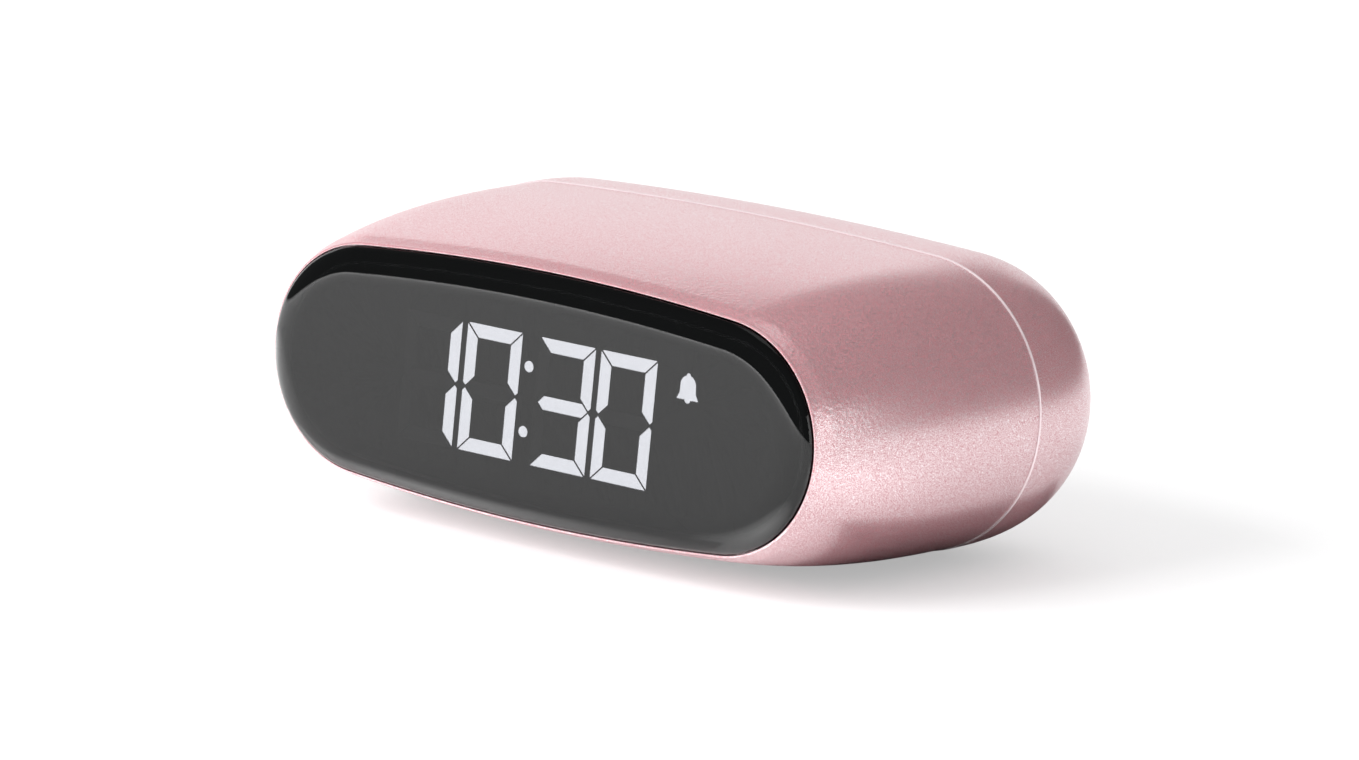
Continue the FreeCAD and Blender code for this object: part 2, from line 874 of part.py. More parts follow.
def rear_cover():
    hollow = cover_outside.cut(cover_inside)
    spigot_outside = inset(seam_outline, shell_wall + spigot_clearance)
    spigot_inside = inset(spigot_outside, spigot_thickness)
    spigot_start = seam_y - spigot_length
    root_end = cover_start_y + spigot_root_length
    spigot = outline_prism(spigot_outside, spigot_start, cover_start_y)
    root = outline_prism(inset(seam_outline, cover_wall - spigot_overlap), cover_start_y, root_end)
    ring = spigot.fuse(root).cut(outline_prism(spigot_inside, spigot_start, root_end))
    bay = box(-bay_half_length - bay_wall, bay_half_length + bay_wall, bay_floor_y - bay_wall, cover_back_y,
              -bay_half_height - bay_wall, bay_half_height + bay_wall)
    added = [bay]
    holes = [box(-bay_half_length, bay_half_length, bay_floor_y, cover_back_y + 1,
                 -bay_half_height, bay_half_height), door_opening()] + contact_slots()
    for side in (1, -1):
        x = side * case_post_x
        added.append(rod(x, 0, well_radius + well_wall, boss_start_y, cover_back_y))
        holes.append(rod(x, 0, well_radius, well_floor_y, cover_back_y + 1))
        holes.append(rod(x, 0, case_screw[2] + screw_hole_clearance, boss_start_y - 1, well_floor_y + 1))
        inner_x = side * (door_half_width + door_gap)
        boss_x = inner_x + side * (hinge_pin_length + hinge_pin_end_gap)
        low_x, high_x = sorted((side * bay_half_length, boss_x))
        around = hinge_radius + hinge_boss
        added.append(box(low_x, high_x, hinge_y - around, hinge_y + around,
                         hinge_z - around, hinge_z + around))
        pin_end = inner_x + side * (hinge_pin_length - door_gap + hinge_pin_end_gap)
        low_x, high_x = sorted((side * bay_half_length, pin_end))
        holes.append(cross_rod(hinge_y, hinge_z, hinge_pin_radius + hinge_pin_clearance, low_x, high_x))
    for x, z in button_places().values():
        added.append(rod(x, z, button_guide_radius, button_stop_y, cover_back_y))
        holes.append(rod(x, z, button_radius + button_gap, button_stop_y - 1, cover_back_y + 1))
        holes.append(rod(x, z, button_flange_radius + button_gap, switch_top_y, button_stop_y))
    for x, z in side_screw_places():
        added.append(rod(x, z, side_boss_radius, side_board_back_y, cover_back_y))
        holes.append(rod(x, z, side_screw[2] + screw_pilot_clearance, side_board_y,
                         side_board_y + side_screw[3] + screw_tip_gap))
    slot_half_width = slider_half_width + slider_slot_gap
    slot_half_height = slider_half_height + slider_travel / 2 + slider_slot_gap
    holes.append(box(button_x - slot_half_width, button_x + slot_half_width, cover_back_y - cover_wall - 1,
                     cover_back_y + 1, -slot_half_height, slot_half_height))
    for hole in range(sound_ring_count + 1):
        angle = 2 * math.pi * hole / sound_ring_count
        spread = 0 if hole == sound_ring_count else sound_ring_radius
        holes.append(rod(-button_x + spread * math.cos(angle), spread * math.sin(angle), sound_hole_radius,
                         cover_back_y - cover_wall - 1, cover_back_y + 1))
    inner = join(added).common(cover_outside)
    front_slab = box(-seam_half_width - 1, seam_half_width + 1, seam_y - 1, cover_start_y,
                     -seam_half_height - 1, seam_half_height + 1)
    shell = hollow.cut(front_slab).fuse(inner).cut(holes)
    return shell.fuse(ring).cut(foot_form(rear_foot_y, foot_gap, foot_thickness))


# Battery door, closed

def battery_door():
    plate = box(-door_half_width, door_half_width, bay_floor_y, cover_back_y + 1, hinge_z, door_half_height)
    plate = plate.common(cover_outside).cut(cover_form(door_thickness))
    barrel = cross_rod(hinge_y, hinge_z, hinge_radius, -door_half_width, door_half_width)
    pins = cross_rod(hinge_y, hinge_z, hinge_pin_radius, -door_half_width - hinge_pin_length,
                     door_half_width + hinge_pin_length)
    latch_high = bay_half_height - latch_gap
    latch_back = cover_surface_y(seam_half_height - latch_high) - door_thickness / 2
    latch = box(-latch_half_width, latch_half_width, latch_back - latch_length, latch_back,
                latch_high - latch_thickness, latch_high)
    grip_z = door_half_height - grip_drop
    grip_y = cover_surface_y(seam_half_height - grip_z) + grip_radius - grip_depth
    grip = Part.makeSphere(grip_radius, Vector(0, grip_y, grip_z))
    return join([plate, barrel, pins, latch]).cut(grip)


# Cells and contacts

def battery_cell(side):
    z = side * cell_spacing / 2
    start = -side * (bay_half_length - contact_thickness - cell_end_gap - spring_length)
    end = start + side * cell_length
    body_end = end - side * cell_nub_length
    low_x, high_x = sorted((start, body_end))
    body = cross_rod(cell_y, z, cell_radius, low_x, high_x)
    rounded = body.makeFillet(cell_rim, [edge for edge in body.Edges if len(edge.Vertexes) == 1])
    low_x, high_x = sorted((body_end, end))
    return join([rounded, cross_rod(cell_y, z, cell_nub_radius, low_x, high_x)])


def contact_plate(side_x, low_z, high_z):
    outer = side_x * bay_half_length
    inner = side_x * (bay_half_length - contact_thickness)
    low_x, high_x = sorted((outer, inner))
    front = bay_floor_y + contact_front_gap
    return box(low_x, high_x, front, front + contact_height, low_z, high_z)


def tabbed_contact(side_z):
    z = side_z * cell_spacing / 2
    plate = contact_plate(1, z - contact_half_height, z + contact_half_height)
    tab = box(bay_half_length - contact_thickness, bay_half_length,
              bay_floor_y - bay_wall - contact_tab_length, bay_floor_y + contact_front_gap,
              z - contact_tab_width / 2, z + contact_tab_width / 2)
    return join([plate, tab])


def cell_spring(side):
    z = side * cell_spacing / 2
    if side > 0:
        return coil(-bay_half_length + contact_thickness, spring_length, cell_y, z)
    return coil(bay_half_length - contact_thickness - spring_length, spring_length, cell_y, z)


# Buttons, switches and buzzer on the two side boards

def side_board(side):
    low_x, high_x = sorted((side * side_board_inner_x, side * side_board_outer_x))
    half_height = side_screw_z + side_boss_radius
    plate = box(low_x, high_x, side_board_y, side_board_back_y, -half_height, half_height)
    room = outline_prism(inset(seam_outline, cover_wall + side_board_edge_gap),
                         side_board_y, side_board_back_y)
    holes = [rod(x, z, side_screw[2] + board_hole_clearance, side_board_y - 1, side_board_back_y + 1)
             for x, z in side_screw_places() if x * side > 0]
    return plate.common(room).cut(holes)


def button_cap(x, z):
    flange_back = button_stop_y - button_stop_gap
    flange_front = flange_back - button_flange_thickness
    stem = rod(x, z, button_radius, flange_back, button_face_y)
    edge = [e for e in stem.Edges if len(e.Vertexes) == 1 and abs(e.CenterOfMass.y - button_face_y) < 1e-6]
    stem = stem.makeFillet(button_edge_round, edge)
    flange = rod(x, z, button_flange_radius, flange_front, flange_back)
    post = rod(x, z, button_stem_radius, plunger_top_y + plunger_gap, flange_front)
    return join([stem, flange, post])


def switch_body(x, z):
    half = switch_size / 2
    body = box(x - half, x + half, side_board_back_y, switch_top_y, z - half, z + half)
    depth = plunger_inside + button_travel + plunger_gap
    return body.cut(rod(x, z, plunger_radius + plunger_clearance, switch_top_y - depth, switch_top_y + 1))


def switch_plunger(x, z):
    return rod(x, z, plunger_radius, switch_top_y - plunger_inside, plunger_top_y)


def buzzer():
    body = rod(-button_x, 0, buzzer_radius, side_board_back_y, side_board_back_y + buzzer_height)
    port = rod(-button_x, 0, buzzer_port_radius, side_board_back_y + buzzer_height - buzzer_port_depth,
               side_board_back_y + buzzer_height + 1)
    return body.cut(port)


# Alarm slider, at rest in its upper place

slide_switch_top_y = side_board_back_y + slide_switch_height
lever_end_y = slide_switch_top_y - lever_inside + lever_length


def slide_switch_body():
    body = box(button_x - slide_switch_half_width, button_x + slide_switch_half_width, side_board_back_y,
               slide_switch_top_y, -slide_switch_half_height, slide_switch_half_height)
    half_width = lever_half + lever_slot_gap
    half_height = lever_half + slider_travel / 2 + lever_slot_gap
    slot = box(button_x - half_width, button_x + half_width, slide_switch_top_y - lever_inside - lever_gap,
               slide_switch_top_y + 1, -half_height, half_height)
    return body.cut(slot)


def switch_lever():
    return box(button_x - lever_half, button_x + lever_half, slide_switch_top_y - lever_inside, lever_end_y,
               slider_z - lever_half, slider_z + lever_half)


def alarm_slider():
    plate_back = cover_back_y - cover_wall - slider_plate_gap
    plate_front = plate_back - slider_plate_thickness
    knob = box(button_x - slider_half_width, button_x + slider_half_width, plate_back, slider_face_y,
               slider_z - slider_half_height, slider_z + slider_half_height)
    plate = box(button_x - slider_plate_half_width, button_x + slider_plate_half_width,
                plate_front, plate_back,
                slider_z - slider_plate_half_height, slider_z + slider_plate_half_height)
    fork_front = lever_end_y - lever_inside
    fork = box(button_x - slider_fork_half_width, button_x + slider_fork_half_width, fork_front, plate_front,
               slider_z - slider_fork_half_height, slider_z + slider_fork_half_height)
    half = lever_half + lever_gap
    socket = box(button_x - half, button_x + half, fork_front - 1, lever_end_y + lever_gap,
                 slider_z - half, slider_z + half)
    grooves = [box(button_x - slider_half_width - 1, button_x + slider_half_width + 1,
                   slider_face_y - slider_ridge_depth, slider_face_y + 1,
                   slider_z + step * slider_ridge_pitch - slider_ridge_width / 2,
                   slider_z + step * slider_ridge_pitch + slider_ridge_width / 2) for step in (-1, 0, 1)]
    return join([knob, plate, fork]).cut([socket] + grooves)


# Wires inside the case

def battery_wire(side):
    start_y = bay_floor_y - bay_wall - contact_tab_length - wire_end_gap
    x = bay_half_length - contact_thickness / 2
    z = side * cell_spacing / 2
    end_y = board_back_y + socket_depth + wire_end_gap
    end_x = battery_socket_x + side * wire_spread
    return tube([(x, start_y, z), (x - 0.6, start_y - 8, z * 0.95), (x - 4, start_y - 16, z * 0.3 - 1.5),
                 (end_x + 1.5, end_y + 7, battery_socket_z + 0.8), (end_x, end_y, battery_socket_z)],
                battery_wire_radius)


def button_cable(side):
    start_y = side_board_y - wire_end_gap
    end_y = board_back_y + socket_depth + wire_end_gap
    x = side * (side_board_inner_x + side_board_outer_x) / 2
    end_x = side * cable_socket_x
    return tube([(x, start_y, 1), (x - side * 0.8, start_y - 8, 1.8), (x - side * 3, start_y - 16, 0),
                 (end_x - side * 1.5, end_y + 8, -1.5), (end_x, end_y, 0)], button_cable_radius)


save("front_shell", front_shell())
save("front_lens", front_lens())
save("lens_gasket", lens_gasket())
save("display_mask", display_mask())
save("display_housing", display_housing())
save("digit_segments", *light_pipes(lit_faces))
save("dark_segments", *light_pipes(dark_faces))
save("led_chips", *led_chips())
save("front_chassis", front_chassis())
save("main_board", main_board())
save("clock_chip", clock_chip())
save("quartz_crystal", cross_rod(board_back_y + crystal_radius, crystal_z, crystal_radius,
                                 crystal_x - crystal_length / 2, crystal_x + crystal_length / 2))
save("board_parts", *board_parts())
save("wire_sockets", *wire_sockets())
save("board_screws", *[screw(x, z, board_back_y, board_screw, -1) for x, z in board_post_places()])
save("touch_foil", touch_foil())
save("touch_spring", touch_spring())
save("rear_cover", rear_cover())
save("battery_door", battery_door())
save("battery_cell_upper", battery_cell(1))
save("battery_cell_lower", battery_cell(-1))
save("bridge_contact", contact_plate(-1, -cell_spacing / 2 - contact_half_height,
                                     cell_spacing / 2 + contact_half_height))
save("positive_contact", tabbed_contact(1))
save("negative_contact", tabbed_contact(-1))
save("upper_cell_spring", cell_spring(1))
save("lower_cell_spring", cell_spring(-1))
save("left_button_board", side_board(-1))
save("right_button_board", side_board(1))
save("button_board_screws", *[screw(x, z, side_board_y, side_screw, 1) for x, z in side_screw_places()])
save("switch_bodies", *[switch_body(x, z) for x, z in button_places().values()])
for name, (x, z) in button_places().items():
    save(name + "_button", button_cap(x, z))
    save(name + "_plunger", switch_plunger(x, z))
save("buzzer", buzzer())
save("slide_switch_body", slide_switch_body())
save("alarm_slider", alarm_slider())
save("alarm_switch_lever", switch_lever())
save("case_screws", *[screw(side * case_post_x, 0, well_floor_y, case_screw, -1) for side in (1, -1)])
save("front_foot", foot_form(front_foot_y, 0, foot_thickness))
save("rear_foot", foot_form(rear_foot_y, 0, foot_thickness))
save("battery_wire_red", battery_wire(1))
save("battery_wire_black", battery_wire(-1))
save("left_button_cable", button_cable(-1))
save("right_button_cable", button_cable(1))
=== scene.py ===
import math

import bmesh
import bpy
from bpy.props import FloatProperty, FloatVectorProperty, PointerProperty
from mathutils import Matrix, Vector


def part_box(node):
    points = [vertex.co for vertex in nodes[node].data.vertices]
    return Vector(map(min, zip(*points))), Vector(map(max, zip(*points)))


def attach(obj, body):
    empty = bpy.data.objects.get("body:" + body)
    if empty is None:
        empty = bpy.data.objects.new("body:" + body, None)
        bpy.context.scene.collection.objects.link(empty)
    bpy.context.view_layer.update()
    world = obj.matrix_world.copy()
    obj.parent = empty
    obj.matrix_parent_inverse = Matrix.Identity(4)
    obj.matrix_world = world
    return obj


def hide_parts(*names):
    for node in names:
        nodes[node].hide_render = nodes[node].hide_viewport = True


bl_info = {
    "name": "Rounded bedside clock",
    "version": (1, 0, 0),
    "blender": (4, 5, 0),
    "location": "3D View > Sidebar > Clock",
    "description": "Builds the shells, lens, display and finishes of a rounded bedside clock",
    "category": "Add Mesh",
}

MM = 0.001
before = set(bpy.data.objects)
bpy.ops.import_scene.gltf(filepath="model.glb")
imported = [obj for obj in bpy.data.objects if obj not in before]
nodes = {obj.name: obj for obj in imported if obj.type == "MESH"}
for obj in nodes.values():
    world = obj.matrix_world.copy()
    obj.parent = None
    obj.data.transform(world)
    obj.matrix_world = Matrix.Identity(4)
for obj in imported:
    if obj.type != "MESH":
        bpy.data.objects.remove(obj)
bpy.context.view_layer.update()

# Places of the case, read from the frame
shell_low, shell_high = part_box("front_shell")
lens_low, lens_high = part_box("front_lens")
cover_low, cover_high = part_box("rear_cover")
RIM_Y = shell_low.y
AXIS_Z = (cover_low.z + cover_high.z) / 2

# How finely outlines and rounded edges are divided
CROWN_STEPS = 44
END_STEPS = 52
LENS_EDGE_STEPS = 28
RIM_STEPS = 8
SHELL_STEPS = 60
SHELL_CROWDING = 1.25
SEAM_STEPS = 6
CAVITY_STEPS = 20
COVER_STEPS = 72
LIP_STEPS = 8
SHARP_EDGE = math.radians(35)
SHARP_COVER_EDGE = math.radians(30)

# Lens: the flat border inside its rounded edge, and the bevel at its back
LENS_FLAT_BORDER = 0.5 * MM
LENS_BACK_BEVEL = 0.15 * MM

# Rear cover: how its solid is matched to its fine skin, and the lip at its edge
SWELL = 0.4 * MM
NEAR_SKIN = 0.25 * MM
NEAR_SKIN_AT_SEAM = 0.5 * MM
SEAM_SHARE = 0.04
SPIGOT_SHARE = -0.0001
SKIN_MARGIN = 1.0 * MM
WELD = 0.001 * MM
FEWEST_COVER_FACES = 5000
LIP_ROOT = 0.6 * MM
LIP_SINK = 0.02 * MM

# Stage
FLOOR_HALF_SIZE = 5.0
ROOM_RADIUS = 7.0
RAYS = ("camera", "diffuse", "glossy", "transmission", "volume_scatter", "shadow")


# Sizes, colours and lights that a user would change

def length(name, description, default):
    return FloatProperty(name=name, description=description, default=default, min=0,
                         unit="LENGTH", precision=5)


def angle(name, description, degrees):
    return FloatProperty(name=name, description=description, default=math.radians(degrees),
                         subtype="ANGLE")


def exponent(name, description, default):
    return FloatProperty(name=name, description=description, default=default, min=1)


def watts(name, description, default):
    return FloatProperty(name=name, description=description, default=default, min=0, unit="POWER")


def colour(name, description, default):
    return FloatVectorProperty(name=name, description=description, default=default, size=3,
                               min=0, max=1, subtype="COLOR")


class ClockForm(bpy.types.PropertyGroup):
    """Sizes of the case that the frame doesn't give."""

    lens_half_width: length("Lens half width", "From the middle of the lens to its end", lens_high.x)
    lens_half_height: length("Lens half height", "From the middle of the lens to its top",
                             (lens_high.z - lens_low.z) / 2)
    lens_crown: length("Lens crown", "How much the lens's top edge rises above its end arcs", 1.3 * MM)
    lens_edge_width: length("Lens edge width", "Width of the lens's rounded edge", 4.2 * MM)
    lens_gap: length("Lens gap", "Gap between the lens and its pocket", 0.2 * MM)
    ledge_width: length("Ledge width", "How far the ledge behind the lens reaches in", 2.2 * MM)
    ledge_depth: length("Ledge depth", "From the rim to the front of the ledge", 1.6 * MM)
    ledge_thickness: length("Ledge thickness", "Thickness of the ledge behind the lens", 1.2 * MM)
    rim_land: length("Rim land", "Flat width between the lens's pocket and the rounded rim", 0.05 * MM)
    rim_round: length("Rim round", "Radius of the rounded rim", 0.25 * MM)
    rim_draft: length("Rim draft", "How much the bevel behind the rim narrows the shell", 0.3 * MM)
    bevel_depth: length("Bevel depth", "From the rounded rim to the bevel's end", 1.8 * MM)
    seam_half_width: length("Seam half width", "Half the case's width at the seam, its widest place",
                            cover_high.x)
    seam_half_height: length("Seam half height", "Half the case's height at the seam",
                             (cover_high.z - cover_low.z) / 2)
    seam_crown: length("Seam crown", "How much the case's top rises above its end arcs", 0.8 * MM)
    seam_gap: length("Seam gap", "Gap between the front shell and the rear cover", 0.1 * MM)
    seam_round: length("Seam round", "Rounding of the front shell's edge at the seam", 0.08 * MM)
    lip_height: length("Lip height", "How far the cover's edge stands above the front shell", 0.18 * MM)
    lip_reach: length("Lip reach", "How far the cover's edge reaches forward into the seam", 0.12 * MM)
    cover_round_width: length("Cover round width", "How far in the rear cover's rounding reaches",
                              14.0 * MM)
    wall: length("Wall", "Thickness of the front shell", 2.0 * MM)
    side_power: exponent("Side power", "How square the rear cover's sides stay", 3.02)
    back_power: exponent("Back power", "How flat the rear cover's back stays", 2.2)
    growth_power: exponent("Growth power", "How quickly the shell widens behind the rim", 2.44)


class ClockFinish(bpy.types.PropertyGroup):
    """Colours of the clock's finishes."""

    rose: colour("Rose", "Pigment of the case's paint", (0.45, 0.142, 0.165))
    flake: colour("Flake", "Pale metal flakes in the paint", (0.88, 0.85, 0.865))
    lens_tint: colour("Lens tint", "Smoked acrylic of the lens", (0.04, 0.04, 0.042))
    lit: colour("Lit strokes", "Light of the figures", (0.97, 0.985, 1.0))


class ClockStage(bpy.types.PropertyGroup):
    """The camera's place and the strength of the lights."""

    view_azimuth: angle("View azimuth", "Turn of the camera round the clock", 37.1557)
    view_elevation: angle("View elevation", "Height of the camera above the horizon", 10.9973)
    view_roll: angle("View roll", "Tilt of the camera about its line of sight", 3.7416)
    view_distance: length("View distance", "From the camera to the lens", 867.65 * MM)
    aim_right: length("Aim right", "How far right of the lens's middle the camera looks", 17.358 * MM)
    aim_up: length("Aim up", "How far above the lens's middle the camera looks", 2.145 * MM)
    focal_length: FloatProperty(name="Focal length", default=188.73, min=1,
                                description="Focal length in millimetres for a 36 mm wide sensor")
    room_light: FloatProperty(name="Room light", description="Strength of the white light all round",
                              default=0.87, min=0)
    key_watts: watts("Key light", "Power of the soft light in front, on the left", 40.0)
    back_watts: watts("Back light", "Power of the wide light behind, on the left", 13.6)
    side_watts: watts("Side light", "Power of the low light on the right", 3.3)
    top_watts: watts("Top light", "Power of the light overhead", 1.2)


# Finishes: a small language for shader nodes

class Signal:
    """One socket of a finish's node tree, with the sums that the finishes use."""

    def __init__(self, finish, socket):
        self.finish = finish
        self.socket = socket

    def math(self, operation, first, second):
        return self.finish.node("ShaderNodeMath", {"operation": operation}, {0: first, 1: second})

    def __add__(self, other):
        return self.math("ADD", self, other)

    def __radd__(self, other):
        return self.math("ADD", other, self)

    def __rsub__(self, other):
        return self.math("SUBTRACT", other, self)

    def __mul__(self, other):
        return self.math("MULTIPLY", self, other)

    def __rmul__(self, other):
        return self.math("MULTIPLY", other, self)


class Finish:
    """A material with a Principled surface, and the nodes that vary it."""

    def __init__(self, name, **constants):
        self.material = bpy.data.materials.new(name)
        self.material.use_nodes = True
        self.tree = self.material.node_tree
        self.shader = next(n for n in self.tree.nodes if n.type == "BSDF_PRINCIPLED")
        self.set(**constants)

    def set(self, **values):
        """Sets or links the shader's own sockets, named with _ for each space."""
        for name, value in values.items():
            self.feed(self.shader.inputs[name.replace("_", " ")], value)

    def feed(self, socket, value):
        if isinstance(value, Signal):
            self.tree.links.new(value.socket, socket)
        elif socket.type == "RGBA" and len(value) == 3:
            socket.default_value = (*value, 1)
        else:
            socket.default_value = value

    def node(self, kind, settings, sockets, output=0):
        """Adds a node: its settings first, then the values or links of its sockets."""
        made = self.tree.nodes.new(kind)
        stops = settings.pop("stops", None)
        for name, value in settings.items():
            setattr(made, name, value)
        if stops:
            while len(made.color_ramp.elements) < len(stops):
                made.color_ramp.elements.new(1)
            for element, (place, shade) in zip(made.color_ramp.elements, stops):
                element.position = place
                element.color = (shade, shade, shade, 1)
        for key, value in sockets.items():
            self.feed(made.inputs[key], value)
        return Signal(self, made.outputs[output])

    def place(self):
        return self.node("ShaderNodeTexCoord", {}, {}, "Object")

    def along(self, axis):
        return self.node("ShaderNodeSeparateXYZ", {}, {0: self.place()}, "XYZ".index(axis))

    def noise(self, size, detail=2.0):
        return self.node("ShaderNodeTexNoise", {},
                         {"Vector": self.place(), "Scale": 1 / size, "Detail": detail})

    def cells(self, size):
        return self.node("ShaderNodeTexVoronoi", {"feature": "SMOOTH_F1"},
                         {"Vector": self.place(), "Scale": 1 / size, "Smoothness": 0.6})

    def mix(self, factor, first, second):
        return self.node("ShaderNodeMix", {"data_type": "RGBA"},
                         {"Factor": factor, "A": first, "B": second}, "Result")

    def ramp(self, value, *stops):
        return self.node("ShaderNodeValToRGB", {"stops": stops}, {"Fac": value})

    def step(self, value, edge):
        return self.node("ShaderNodeMath", {"operation": "GREATER_THAN"}, {0: value, 1: edge})

    def bump(self, height, depth):
        return self.node("ShaderNodeBump", {}, {"Height": height, "Distance": depth})


def rose_paint(colours):
    """Pale metal flakes in a rose pigment, on a skin that is wavy at the rim and calm behind it."""
    finish = Finish("rose_paint")
    wavy_depth = 11 * MM
    near_rim = finish.node("ShaderNodeMapRange", {}, {
        "Value": finish.along("Y"), "From Min": RIM_Y, "From Max": RIM_Y + wavy_depth,
        "To Min": 1.0, "To Max": 0.22})
    peel = finish.noise(0.6 * MM, detail=1.5) * near_rim
    clouds = finish.noise(9 * MM)
    flakes = finish.ramp(finish.noise(0.08 * MM), (0.47, 0.04), (0.57, 0.96))
    finish.set(Base_Color=finish.mix(flakes, colours.rose, colours.flake), Metallic=flakes,
               Roughness=0.27 + 0.03 * clouds, Normal=finish.bump(peel, 0.07 * MM))
    return finish.material


def case_paint(scene):
    """The case's paint, mixed once and shared by every painted piece."""
    return bpy.data.materials.get("rose_paint") or rose_paint(scene.clock_finish)


def smoked_acrylic(colours):
    """Dark polished acrylic under a thin hard coat."""
    finish = Finish("smoked_acrylic", Base_Color=colours.lens_tint, IOR=1.49, Specular_IOR_Level=0.46,
                    Transmission_Weight=1.0, Coat_Weight=0.1, Coat_IOR=1.5, Coat_Roughness=0.02)
    finish.set(Roughness=0.003 + 0.005 * finish.noise(14 * MM))
    return finish.material


def lit_diffuser(colours):
    """A white diffuser lit from behind, a little unevenly."""
    finish = Finish("lit_diffuser", Base_Color=(0.8, 0.8, 0.8), Roughness=0.5, Emission_Strength=19.0)
    uneven = finish.noise(3 * MM, detail=1) * 0.12
    finish.set(Emission_Color=finish.mix(uneven, colours.lit, (0.82, 0.86, 0.9)))
    return finish.material


def moulded(name, shade, roughness, grain=0.3 * MM, metallic=0.0):
    """A fine grain under clouds of a darker shade, for moulded, dipped and plated parts."""
    finish = Finish(name, Metallic=metallic)
    speckle = finish.noise(grain, detail=3)
    clouds = finish.noise(grain * 25)
    darker = tuple(channel * 0.72 for channel in shade)
    finish.set(Base_Color=finish.mix(speckle * 0.5 + clouds * 0.5, shade, darker),
               Roughness=roughness - 0.06 + 0.12 * speckle, Normal=finish.bump(speckle, 0.01 * MM))
    return finish.material


def cell_wrap(name, side):
    """A cell's slate wrap, a silver band at its positive end, and its bare steel ends."""
    finish = Finish(name)
    band_start = 12 * MM
    positive_end = 23.2 * MM
    negative_end = 20 * MM
    along = finish.along("X") * side
    band = finish.step(along, band_start)
    bare = finish.step(along, positive_end) + finish.step(0 - along, negative_end)
    haze = finish.noise(6 * MM, detail=1)
    wrap = finish.mix(band, (0.07, 0.10, 0.13), (0.50, 0.51, 0.52))
    finish.set(Base_Color=finish.mix(bare, wrap, (0.6, 0.6, 0.58)), Metallic=0.85 * bare + 0.7 * band,
               Roughness=0.22 + 0.12 * haze, Normal=finish.bump(haze, 0.01 * MM))
    return finish.material


def circuit_board():
    """Green solder mask, paler over the copper tracks."""
    finish = Finish("circuit_board")
    tracks = finish.ramp(finish.cells(1.6 * MM), (0.42, 0), (0.47, 1))
    finish.set(Base_Color=finish.mix(tracks, (0.012, 0.10, 0.035), (0.025, 0.18, 0.06)),
               Roughness=0.3 + 0.12 * finish.noise(0.5 * MM), Normal=finish.bump(tracks, 0.03 * MM))
    return finish.material


def floor_paper(name, shade, glow=0.0):
    """Matt paper with a fine tooth, which can glow evenly."""
    finish = Finish(name, Specular_IOR_Level=0.0, Emission_Color=(1, 1, 1), Emission_Strength=glow)
    tooth = finish.noise(2 * MM, detail=3)
    pale = (shade, shade, shade * 1.005)
    darker = tuple(channel * 0.98 for channel in pale)
    finish.set(Base_Color=finish.mix(tooth, pale, darker), Roughness=0.75 + 0.1 * tooth)
    return finish.material


def glint_paper(name, middle, half_width, half_depth, glow):
    """Floor paper that glows softly round a place, fading out towards the sheet's edges."""
    finish = Finish(name, Base_Color=(0.88, 0.88, 0.885), Roughness=0.8, Specular_IOR_Level=0.0,
                    Emission_Strength=glow)
    offset = finish.node("ShaderNodeVectorMath", {"operation": "SUBTRACT"},
                         {0: finish.place(), 1: middle})
    share = finish.node("ShaderNodeVectorMath", {"operation": "MULTIPLY"},
                        {0: offset, 1: (1 / half_width, 1 / half_depth, 0)})
    away = finish.node("ShaderNodeVectorMath", {"operation": "LENGTH"}, {0: share}, "Value")
    finish.set(Emission_Color=finish.mix(away, (1, 1, 1), (0, 0, 0)))
    return finish.material


def dim_room():
    """A faint glow, cool in front and greyer behind."""
    finish = Finish("dim_room", Base_Color=(0, 0, 0), Specular_IOR_Level=0.0, Emission_Strength=0.18)
    behind = finish.along("Y") * 0.07 + 0.5
    finish.set(Emission_Color=finish.mix(behind, (0.92, 0.98, 1.0), (0.3, 0.3, 0.3)))
    return finish.material


# Outlines: two crown arcs joined by two end arcs, given as half width, half height and end radius

def grow(outline, distance):
    return tuple(size + distance for size in outline)


def inset(outline, distance):
    return grow(outline, -distance)


def blend_outlines(first, second, share):
    return tuple(one + (two - one) * share for one, two in zip(first, second))


def crown(outline):
    """Where the end arcs are centred, the crown's radius and how far below the axis its centre is."""
    half_width, half_height, end_radius = outline
    centre_x = half_width - end_radius
    radius = (centre_x ** 2 + half_height ** 2 - end_radius ** 2) / (2 * (half_height - end_radius))
    return centre_x, radius, radius - half_height


def outline_points(outline):
    """Points round an outline, clockwise from the front, starting at the left end of its top crown."""
    end_radius = outline[2]
    centre_x, radius, drop = crown(outline)
    turn = math.atan2(centre_x, drop)
    points = []
    for step in range(CROWN_STEPS):
        lean = -turn + 2 * turn * step / CROWN_STEPS
        points.append((radius * math.sin(lean), radius * math.cos(lean) - drop))
    for step in range(END_STEPS):
        lean = turn + (math.pi - 2 * turn) * step / END_STEPS
        points.append((centre_x + end_radius * math.sin(lean), end_radius * math.cos(lean)))
    return points + [(-x, -z) for x, z in points]


def ring(outline, y):
    """An outline's points in the frame, y behind the rim."""
    return [Vector((x, RIM_Y + y, AXIS_Z + z)) for x, z in outline_points(outline)]


def lens_outline(form):
    return form.lens_half_width, form.lens_half_height, form.lens_half_height - form.lens_crown


def seam_outline(form):
    return form.seam_half_width, form.seam_half_height, form.seam_half_height - form.seam_crown


def rim_outline(form):
    return grow(lens_outline(form), form.lens_gap + form.rim_land + form.rim_round)


def seam_y():
    """How far the front shell's end lies behind the rim."""
    return shell_high.y - RIM_Y


def cover_start(form):
    """How far the rear cover's edge lies behind the rim."""
    return seam_y() + form.seam_gap


def cover_depth(form):
    return cover_high.y - RIM_Y - cover_start(form)


